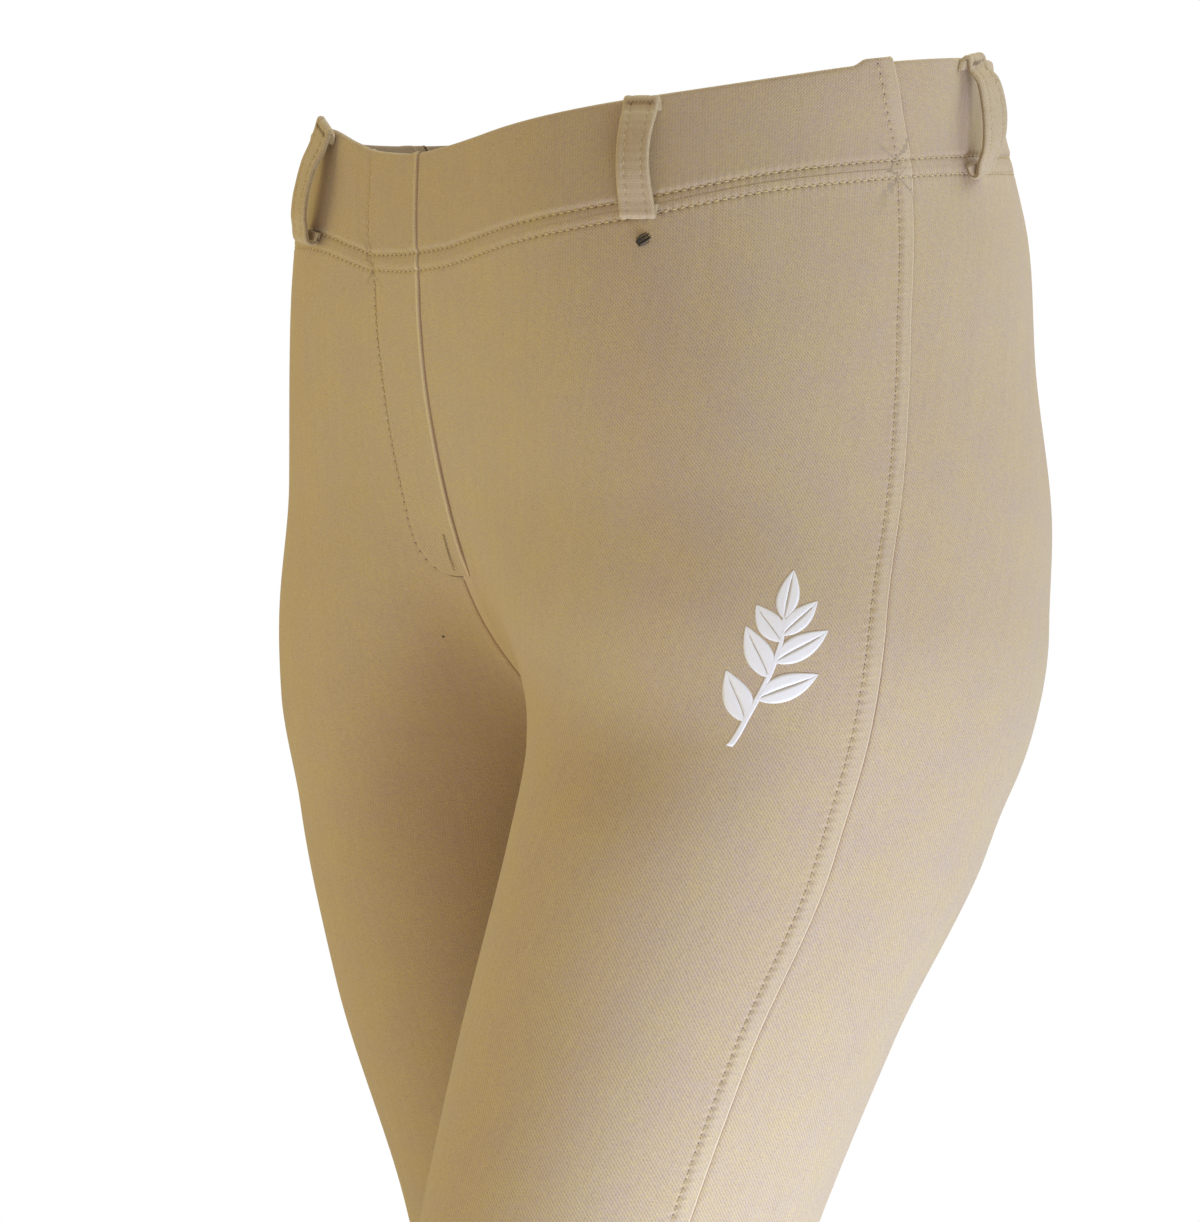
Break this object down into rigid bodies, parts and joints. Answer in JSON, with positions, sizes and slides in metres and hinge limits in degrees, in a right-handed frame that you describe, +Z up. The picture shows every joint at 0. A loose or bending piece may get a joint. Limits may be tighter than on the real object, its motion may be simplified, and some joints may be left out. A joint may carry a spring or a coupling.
{
  "type": "jodhpurs",
  "caption": "Close-fitting stretch-knit riding trousers, filled out as worn in a short stride, with a mock fly, a shaped waistband, belt loops and open ankles.",
  "frame": {"origin": "the middle of the waist, level with the waistband at its sides, where the wearer's waist holds the garment", "axes": "+Z up, -Y toward the wearer's front, +X toward the wearer's left"},
  "size_m": [0.345, 0.346, 1.0073],
  "materials": {
    "knit_cloth": "matt fine-ribbed stretch knit, beige",
    "waistband_cloth": "the same knit folded double, matt beige",
    "belt_loop_cloth": "the same knit folded into a narrow strip, matt beige",
    "stitching": "matt polyester thread, beige",
    "motif_film": "thin white heat-pressed film"
  },
  "bodies": {
    "root": {"front_left": "knit_cloth", "front_right": "knit_cloth", "back_left": "knit_cloth", "back_right": "knit_cloth", "waistband_front_left": "waistband_cloth", "waistband_front_right": "waistband_cloth", "waistband_back": "waistband_cloth", "fly_placket": "knit_cloth", "waistband_lap": "waistband_cloth", "belt_loop_front_left": "belt_loop_cloth", "belt_loop_front_right": "belt_loop_cloth", "belt_loop_back_left": "belt_loop_cloth", "belt_loop_back_right": "belt_loop_cloth"}
  },
  "joints": []
}
